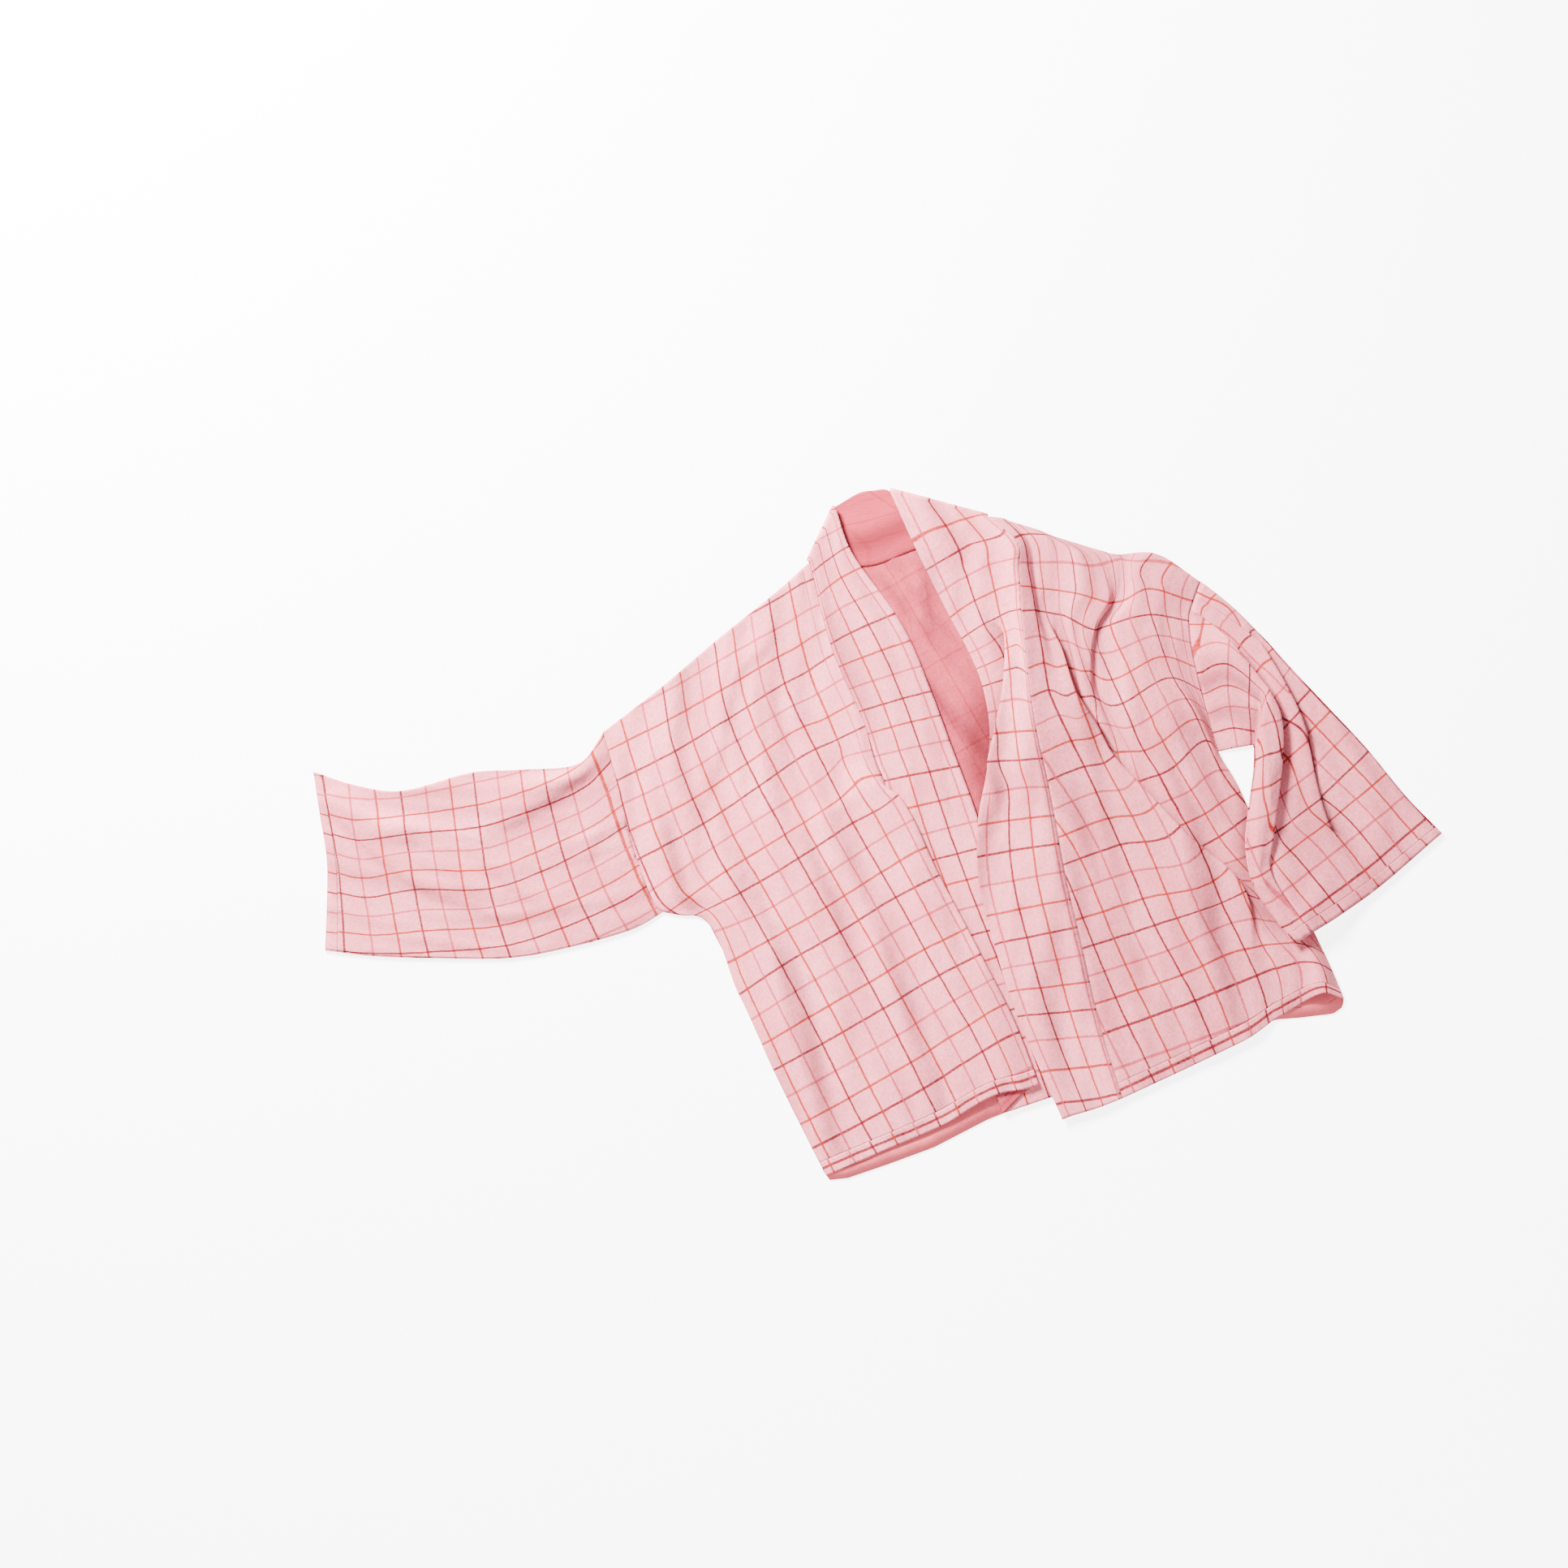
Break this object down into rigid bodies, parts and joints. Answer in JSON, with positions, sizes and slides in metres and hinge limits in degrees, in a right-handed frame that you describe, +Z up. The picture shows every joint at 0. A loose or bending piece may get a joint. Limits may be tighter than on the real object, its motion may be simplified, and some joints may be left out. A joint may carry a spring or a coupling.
{
  "type": "kimono duster",
  "caption": "Open-front kimono jacket in pale pink windowpane check with a coral reverse, laid flat on its back with its sleeves spread.",
  "frame": {"origin": "centre of the garment's footprint as laid, on the surface that it lies on", "axes": "+X towards the wearer's left sleeve, across the longest spread; +Y towards the neck; +Z up, through the laid layers"},
  "size_m": [1.1809, 0.7203, 0.0206],
  "materials": {
    "back_cloth": "soft woven cotton, coral side up",
    "front_right_cloth": "soft woven cotton, pale pink windowpane check",
    "front_left_cloth": "soft woven cotton, pale pink windowpane check",
    "neckband_cloth": "soft woven cotton, pale pink windowpane check",
    "sleeve_right_cloth": "soft woven cotton, pale pink windowpane check",
    "sleeve_left_cloth": "soft woven cotton, pale pink windowpane check"
  },
  "bodies": {
    "root": {"back": "back_cloth", "front_right": "front_right_cloth", "front_left": "front_left_cloth", "neckband": "neckband_cloth", "sleeve_right": "sleeve_right_cloth", "sleeve_left": "sleeve_left_cloth"}
  },
  "joints": []
}
